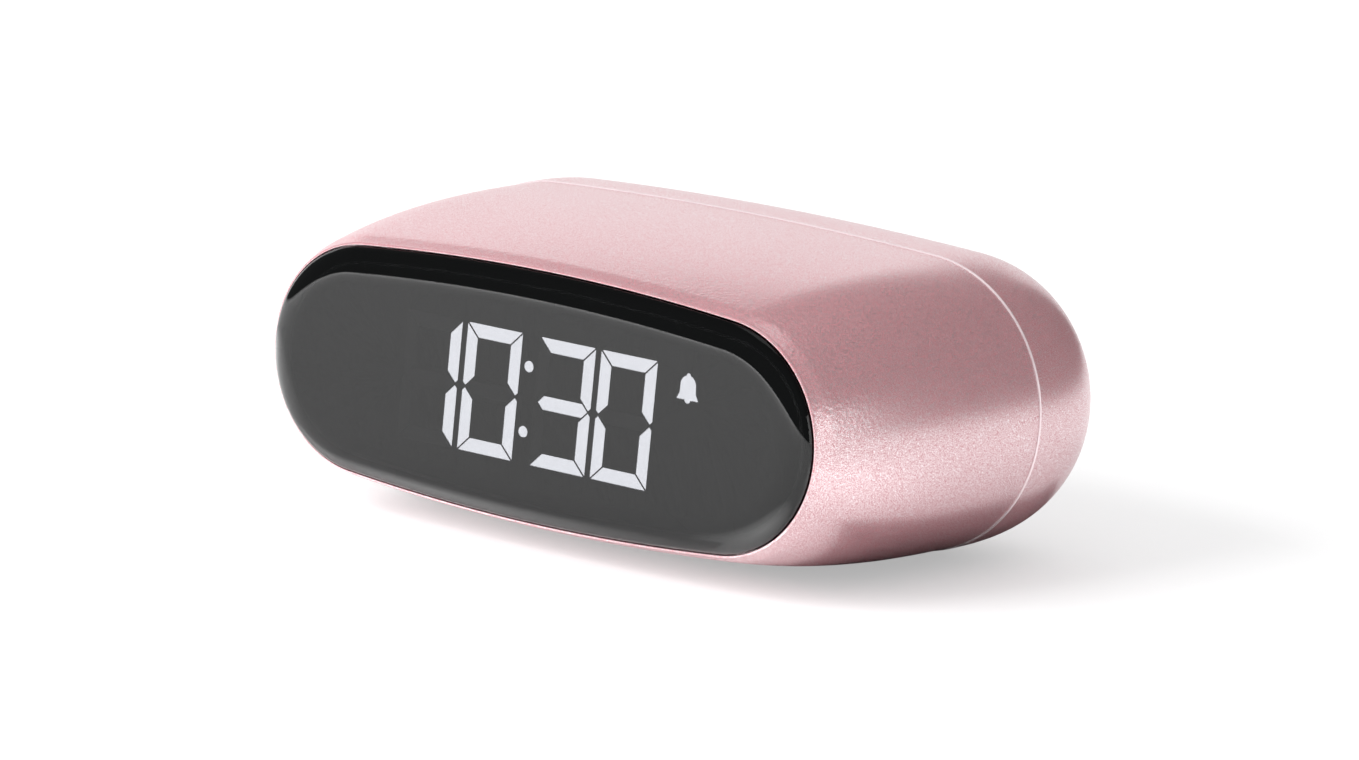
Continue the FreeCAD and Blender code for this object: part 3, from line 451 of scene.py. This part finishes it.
def shell_outline(form, y):
    """The front shell's outline, y behind the rim: a short bevel, then a curve that flattens out."""
    share = (y - form.rim_round) / (seam_y() - form.rim_round)
    widest = inset(seam_outline(form), form.lip_height)
    narrowest = grow(rim_outline(form), form.rim_draft)
    body = blend_outlines(narrowest, widest, 1 - (1 - share) ** form.growth_power)
    return inset(body, form.rim_draft * max(1 - (y - form.rim_round) / form.bevel_depth, 0))


def cover_skin(form, turn):
    """How far in and how far behind the rim the rear cover's skin is, for a turn from 0 to 1."""
    lean = turn * math.pi / 2
    inward = form.cover_round_width * (1 - math.cos(lean) ** (2 / form.back_power))
    return inward, cover_start(form) + cover_depth(form) * math.sin(lean) ** (2 / form.side_power)


def outline_depth(form, x, z):
    """How far a place is inside the seam's outline, and the direction straight out."""
    outline = seam_outline(form)
    centre_x, reach, drop = crown(outline)
    out = Vector((x, abs(z) + drop))
    if abs(x) > centre_x and abs(out.x) * drop > out.y * centre_x:
        out = Vector((x - math.copysign(centre_x, x), abs(z)))
        reach = outline[2]
    distance = out.length
    return reach - distance, out.x / distance, math.copysign(out.y, z) / distance


# Meshes

def steps(start, end, count, power=1.0):
    """Evenly spread values from start to end, or crowded near the start for a power over 1."""
    return [start + (end - start) * (step / count) ** power for step in range(count + 1)]


def tidy(mesh, sharp=SHARP_EDGE):
    """Turns the faces outwards and smooths all but the sharp edges."""
    work = bmesh.new()
    work.from_mesh(mesh)
    bmesh.ops.recalc_face_normals(work, faces=work.faces)
    work.to_mesh(mesh)
    work.free()
    mesh.shade_smooth()
    mesh.set_sharp_from_angle(angle=sharp)


def mesh_object(name, points, faces):
    mesh = bpy.data.meshes.new(name)
    mesh.from_pydata(points, [], faces)
    tidy(mesh)
    return scene_object(name, mesh)


def scene_object(name, data):
    made = bpy.data.objects.new(name, data)
    bpy.context.scene.collection.objects.link(made)
    return made


def loft(name, rings, closed=False, caps=False):
    """A mesh through rings of points, each ring with as many points as the next."""
    count = len(rings[0])
    points = [point for one in rings for point in one]
    faces = []
    for row in range(len(rings) - (0 if closed else 1)):
        first = row * count
        after = (row + 1) % len(rings) * count
        for step in range(count):
            beside = (step + 1) % count
            faces.append((first + step, first + beside, after + beside, after + step))
    if caps:
        faces.append(tuple(range(count))[::-1])
        faces.append(tuple(range(len(points) - count, len(points))))
    return mesh_object(name, points, faces)


def dress(made, material):
    made.data.materials.clear()
    made.data.materials.append(material)
    return made


def case_piece(made, slot, material, *replaced):
    """Dresses a piece, lets it ride on the case and hides the nodes that it stands for."""
    dress(made, material)
    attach(made, "case")
    if replaced:
        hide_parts(*replaced)


def show_only_to(made, *rays):
    for ray in RAYS:
        setattr(made, "visible_" + ray, ray in rays)


# Operators

class CLOCK_OT_camera(bpy.types.Operator):
    """Places the camera where the photograph was taken from"""

    bl_idname = "clock.camera"
    bl_label = "Camera"

    def execute(self, context):
        stage = context.scene.clock_stage
        azimuth, elevation, roll = stage.view_azimuth, stage.view_elevation, stage.view_roll
        sideways = Vector((math.cos(azimuth), math.sin(azimuth), 0))
        forward = Vector((-math.sin(azimuth) * math.cos(elevation),
                          math.cos(azimuth) * math.cos(elevation), -math.sin(elevation)))
        upward = sideways.cross(forward)
        right = sideways * math.cos(roll) + upward * math.sin(roll)
        up = upward * math.cos(roll) - sideways * math.sin(roll)
        lens_middle = Vector((0, RIM_Y, AXIS_Z))
        data = bpy.data.cameras.new("camera")
        data.lens = stage.focal_length
        data.clip_start = 10 * MM
        data.clip_end = 50
        camera = scene_object("camera", data)
        turned = Matrix((right, up, -forward)).transposed().to_4x4()
        turned.translation = (lens_middle - forward * stage.view_distance
                              + right * stage.aim_right + up * stage.aim_up)
        camera.matrix_world = turned
        context.scene.camera = camera
        return {"FINISHED"}


class CLOCK_OT_stage(bpy.types.Operator):
    """Makes the pale floor and the studio's lights"""

    bl_idname = "clock.stage"
    bl_label = "Stage"

    def execute(self, context):
        scene = context.scene
        stage = scene.clock_stage
        scene.view_settings.view_transform = "Standard"
        self.room(scene, stage.room_light)
        self.floor()
        self.glints()
        key = self.panel("key_light", (-0.55, -1.25, 0.65), (0, 0, 0), 1.0, 1.0, stage.key_watts)
        key.visible_glossy = False
        self.panel("back_light", (-1.65, 1.57, 0.6), (0, 0, 0.02), 3.0, 1.45, stage.back_watts)
        self.panel("side_light", (1.45, 0.15, 0.22), (0, 0, 0.05), 1.0, 0.7, stage.side_watts)
        self.panel("top_light", (-0.1, 0.1, 1.6), (0, 0, 0), 0.9, 0.9, stage.top_watts)
        return {"FINISHED"}

    def room(self, scene, strength):
        """White light all round, and a dim room that takes its place in reflections."""
        world = bpy.data.worlds.new("studio")
        world.use_nodes = True
        backdrop = world.node_tree.nodes["Background"]
        backdrop.inputs["Color"].default_value = (1, 1, 1, 1)
        backdrop.inputs["Strength"].default_value = strength
        world.cycles_visibility.glossy = False
        scene.world = world
        work = bmesh.new()
        bmesh.ops.create_icosphere(work, subdivisions=3, radius=ROOM_RADIUS)
        mesh = bpy.data.meshes.new("surround")
        work.to_mesh(mesh)
        work.free()
        surround = dress(scene_object("surround", mesh), dim_room())
        show_only_to(surround, "glossy")

    def floor(self):
        """The floor that the camera sees, the one that lights the clock, and a dark card under the
        clock as painted shade, seen only in the clock's reflections and bounce light.
        """
        size = FLOOR_HALF_SIZE
        self.sheet("floor", (0, 0, 0), size, size, floor_paper("floor_paper", 0.52, 0.4), "camera")
        self.sheet("bounce_floor", (0, 0, -0.2 * MM), size, size, floor_paper("bounce_paper", 0.88),
                   "diffuse", "glossy", "transmission")
        # painted shade: a dark card under the clock darkens what its underside reflects and the light
        # bounced onto it
        self.sheet("shade_card", (0, 14 * MM, -0.1 * MM), 47 * MM, 28 * MM,
                   floor_paper("shade_card", 0.02), "diffuse", "glossy")

    def glints(self):
        """Softly glowing cards on the floor, which show only in the lens and the paint."""
        for name, x, y, half_width, half_depth, glow in (
            ("glint", 33, -42, 16, 16, 2.4),
            ("fill", 80, -15, 32, 32, 0.9),
            ("left", -130, -25, 75, 60, 2.2),
            ("front", -20, -33, 45, 4.5, 2.0),
        ):
            middle = (x * MM, y * MM, -0.1 * MM)
            paper = glint_paper(name + "_paper", middle, half_width * MM, half_depth * MM, glow)
            self.sheet(name + "_card", middle, half_width * MM, half_depth * MM, paper, "glossy")

    def sheet(self, name, middle, half_width, half_depth, material, *seen_by):
        """A flat sheet of the stage that shows only to the named kinds of ray."""
        corners = [Vector(middle) + Vector((side * half_width, end * half_depth, 0))
                   for side, end in ((-1, -1), (1, -1), (1, 1), (-1, 1))]
        made = dress(mesh_object(name, corners, [(0, 1, 2, 3)]), material)
        show_only_to(made, *seen_by)

    def panel(self, name, place, target, width, height, power):
        """A soft rectangular light at a place, turned to a target."""
        data = bpy.data.lights.new(name, "AREA")
        data.shape = "RECTANGLE"
        data.size = width
        data.size_y = height
        data.energy = power
        light = scene_object(name, data)
        light.location = place
        light.rotation_euler = (Vector(target) - Vector(place)).to_track_quat("-Z", "Y").to_euler()
        light.visible_camera = False
        return light


class CLOCK_OT_front_shell(bpy.types.Operator):
    """Builds the front shell, from its rounded rim to the seam"""

    bl_idname = "clock.front_shell"
    bl_label = "Front shell"

    def execute(self, context):
        form = context.scene.clock_form
        pocket = grow(lens_outline(form), form.lens_gap)
        ledge = inset(lens_outline(form), form.ledge_width)
        cavity = form.ledge_depth + form.ledge_thickness
        end = seam_y() - form.lip_reach
        rings = [ring(pocket, form.ledge_depth), ring(pocket, 0)]
        for lean in steps(0, math.pi / 2, RIM_STEPS):
            across = inset(rim_outline(form), form.rim_round * (1 - math.sin(lean)))
            rings.append(ring(across, form.rim_round * (1 - math.cos(lean))))
        for y in steps(form.rim_round, end - form.seam_round, SHELL_STEPS, SHELL_CROWDING)[1:]:
            rings.append(ring(shell_outline(form, y), y))
        rear = shell_outline(form, end - form.seam_round)
        for lean in steps(0, math.pi / 2, SEAM_STEPS)[1:]:
            across = inset(rear, form.seam_round * (1 - math.cos(lean)))
            rings.append(ring(across, end - form.seam_round + form.seam_round * math.sin(lean)))
        for y in steps(end, cavity, CAVITY_STEPS):
            rings.append(ring(inset(shell_outline(form, y), form.wall), y))
        rings += [ring(ledge, cavity), ring(ledge, form.ledge_depth)]
        shell = loft("shell_front", rings, closed=True)
        case_piece(shell, "rose_case", case_paint(context.scene), "front_shell")
        return {"FINISHED"}


class CLOCK_OT_rear_cover(bpy.types.Operator):
    """Gives the rear cover a fine skin, and a small lip at the seam that catches the light, painted
    pale as a highlight
    """

    bl_idname = "clock.rear_cover"
    bl_label = "Rear cover"

    def execute(self, context):
        form = context.scene.clock_form
        cover = mesh_object("cover_rear", [], [])
        self.swell(form, nodes["rear_cover"].data, cover.data)
        skin = self.skin(form)
        cut = cover.modifiers.new("skin", "BOOLEAN")
        cut.operation = "INTERSECT"
        cut.solver = "EXACT"
        cut.object = skin
        context.view_layer.update()
        cut_cover = cover.evaluated_get(context.evaluated_depsgraph_get())
        cut_mesh = bpy.data.meshes.new_from_object(cut_cover)
        if len(cut_mesh.polygons) < FEWEST_COVER_FACES:
            raise RuntimeError("the rear cover lost its faces")
        cover.modifiers.clear()
        cover.data = cut_mesh
        bpy.data.objects.remove(skin)
        tidy(cut_mesh, SHARP_COVER_EDGE)
        case_piece(cover, "rose_case", case_paint(context.scene), "rear_cover")
        self.lip(form)
        return {"FINISHED"}

    def swell(self, form, source, target):
        """Copies the frame's cover with its outer form pushed out a little, ready for the cut."""
        work = bmesh.new()
        work.from_mesh(source)
        bmesh.ops.remove_doubles(work, verts=work.verts, dist=WELD)
        for vertex in work.verts:
            back = (vertex.co.y - RIM_Y - cover_start(form)) / cover_depth(form)
            if back < SPIGOT_SHARE:
                continue
            back = max(back, 0)
            depth, out_x, out_z = outline_depth(form, vertex.co.x, vertex.co.z - AXIS_Z)
            side = max(1 - depth / form.cover_round_width, 0)
            slope_out = form.back_power * side ** (form.back_power - 1) / form.cover_round_width
            slope_back = form.side_power * back ** (form.side_power - 1) / cover_depth(form)
            slope = math.hypot(slope_out, slope_back)
            near = NEAR_SKIN_AT_SEAM if back < SEAM_SHARE else NEAR_SKIN
            if abs(back ** form.side_power + side ** form.back_power - 1) < slope * near:
                outward = Vector((out_x * slope_out, slope_back, out_z * slope_out))
                vertex.co += outward * (SWELL / slope)
        work.to_mesh(target)
        work.free()
        carried = target.attributes.get("custom_normal")
        if carried:
            target.attributes.remove(carried)

    def skin(self, form):
        """The rear cover's outer form as a fine solid, from before its spigot to its back."""
        outline = seam_outline(form)
        rings = [ring(outline, cover_low.y - RIM_Y - SKIN_MARGIN)]
        for turn in steps(0, 1, COVER_STEPS)[1:]:
            inward, y = cover_skin(form, turn)
            rings.append(ring(inset(outline, inward), y))
        return loft("skin", rings, caps=True)

    def lip(self, form):
        """The rounded edge that stands out at the seam, sunk a little into the cover behind it, its
        pale colour a painted highlight.
        """
        outline = seam_outline(form)
        root = inset(outline, LIP_ROOT)
        front = seam_y() - form.lip_reach + LIP_SINK
        back = cover_start(form) + LIP_SINK
        rings = [ring(root, back), ring(root, front)]
        for lean in steps(0, math.pi / 2, LIP_STEPS):
            across = inset(outline, form.lip_height * (1 - math.sin(lean)))
            rings.append(ring(across, front + (back - front) * (1 - math.cos(lean))))
        # painted highlight: the lip's pale colour stands in for the light that the seam's edge catches
        painted_seam_highlight = moulded("painted_seam_highlight", (0.95, 0.80, 0.82), 0.4, metallic=0.5)
        case_piece(loft("cover_lip", rings, closed=True), "rose_case", painted_seam_highlight)


class CLOCK_OT_lens(bpy.types.Operator):
    """Builds the smoked lens with its rounded edge"""

    bl_idname = "clock.lens"
    bl_label = "Lens"

    def execute(self, context):
        form = context.scene.clock_form
        outline = lens_outline(form)
        proud = RIM_Y - lens_low.y
        back = lens_high.y - RIM_Y
        rings = [ring(inset(outline, form.lens_edge_width + LENS_FLAT_BORDER), -proud)]
        for lean in steps(math.pi / 2, 0, LENS_EDGE_STEPS):
            across = inset(outline, form.lens_edge_width * (1 - math.cos(lean)))
            rings.append(ring(across, -proud * math.sin(lean)))
        rings.append(ring(outline, back - LENS_BACK_BEVEL))
        rings.append(ring(inset(outline, LENS_BACK_BEVEL), back))
        lens = loft("lens", rings, caps=True)
        case_piece(lens, "smoked_lens", smoked_acrylic(context.scene.clock_finish), "front_lens")
        return {"FINISHED"}


class CLOCK_OT_display(bpy.types.Operator):
    """Lights the figures and blackens what lies behind the lens"""

    bl_idname = "clock.display"
    bl_label = "Display"

    def execute(self, context):
        dress(nodes["digit_segments"], lit_diffuser(context.scene.clock_finish))
        film = moulded("black_film", (0.012, 0.012, 0.013), 0.5)
        for name in ("display_mask", "dark_segments", "lens_gasket", "display_housing"):
            dress(nodes[name], film)
        return {"FINISHED"}


class CLOCK_OT_rear(bpy.types.Operator):
    """Paints the battery door, the buttons and the slider"""

    bl_idname = "clock.rear"
    bl_label = "Rear"

    def execute(self, context):
        for name in ("battery_door", "hour_button", "minute_button", "time_button", "alarm_button",
                     "alarm_slider"):
            dress(nodes[name], case_paint(context.scene))
        return {"FINISHED"}


class CLOCK_OT_inside(bpy.types.Operator):
    """Gives the parts inside the case, the cells and the feet their finishes"""

    bl_idname = "clock.inside"
    bl_label = "Inside"

    def execute(self, context):
        finishes = {
            moulded("grey_rubber", (0.16, 0.16, 0.165), 0.75):
                "front_foot rear_foot",
            moulded("plated_steel", (0.55, 0.54, 0.52), 0.3, metallic=1.0):
                "case_screws board_screws button_board_screws bridge_contact negative_contact "
                "positive_contact lower_cell_spring upper_cell_spring quartz_crystal "
                "slide_switch_body",
            moulded("copper", (0.72, 0.36, 0.22), 0.32, metallic=1.0):
                "touch_foil touch_spring",
            moulded("black_plastic", (0.018, 0.018, 0.02), 0.45):
                "front_chassis buzzer switch_bodies alarm_switch_lever hour_plunger minute_plunger "
                "time_plunger alarm_plunger",
            moulded("chip_epoxy", (0.025, 0.025, 0.026), 0.6, grain=0.15 * MM):
                "clock_chip",
            moulded("ceramic", (0.50, 0.36, 0.22), 0.4, grain=0.2 * MM):
                "board_parts",
            moulded("socket_nylon", (0.78, 0.75, 0.66), 0.5):
                "wire_sockets",
            moulded("diode_case", (0.85, 0.84, 0.78), 0.35):
                "led_chips",
            moulded("red_sleeve", (0.45, 0.012, 0.01), 0.4):
                "battery_wire_red",
            moulded("black_sleeve", (0.015, 0.015, 0.016), 0.4):
                "battery_wire_black",
            moulded("grey_sleeve", (0.30, 0.30, 0.31), 0.45):
                "left_button_cable right_button_cable",
            circuit_board():
                "main_board left_button_board right_button_board",
            cell_wrap("cell_wrap_upper", 1):
                "battery_cell_upper",
            cell_wrap("cell_wrap_lower", -1):
                "battery_cell_lower",
        }
        for material, names in finishes.items():
            for name in names.split():
                dress(nodes[name], material)
        return {"FINISHED"}


class CLOCK_PT_build(bpy.types.Panel):
    """Lists the clock's build steps in the order in which they run"""

    bl_idname = "CLOCK_PT_build"
    bl_label = "Rounded clock"
    bl_space_type = "VIEW_3D"
    bl_region_type = "UI"
    bl_category = "Clock"

    def draw(self, context):
        for operator in OPERATORS:
            self.layout.operator(operator.bl_idname)


GROUPS = {"clock_form": ClockForm, "clock_finish": ClockFinish, "clock_stage": ClockStage}
OPERATORS = (
    CLOCK_OT_camera,
    CLOCK_OT_stage,
    CLOCK_OT_front_shell,
    CLOCK_OT_rear_cover,
    CLOCK_OT_lens,
    CLOCK_OT_display,
    CLOCK_OT_rear,
    CLOCK_OT_inside,
)


def register():
    for name, group in GROUPS.items():
        bpy.utils.register_class(group)
        setattr(bpy.types.Scene, name, PointerProperty(type=group))
    for operator in OPERATORS:
        bpy.utils.register_class(operator)
    bpy.utils.register_class(CLOCK_PT_build)


def unregister():
    bpy.utils.unregister_class(CLOCK_PT_build)
    for operator in reversed(OPERATORS):
        bpy.utils.unregister_class(operator)
    for name, group in GROUPS.items():
        delattr(bpy.types.Scene, name)
        bpy.utils.unregister_class(group)


def main():
    register()
    for operator in OPERATORS:
        family, name = operator.bl_idname.split(".")
        getattr(getattr(bpy.ops, family), name)()


if __name__ == "__main__":
    main()
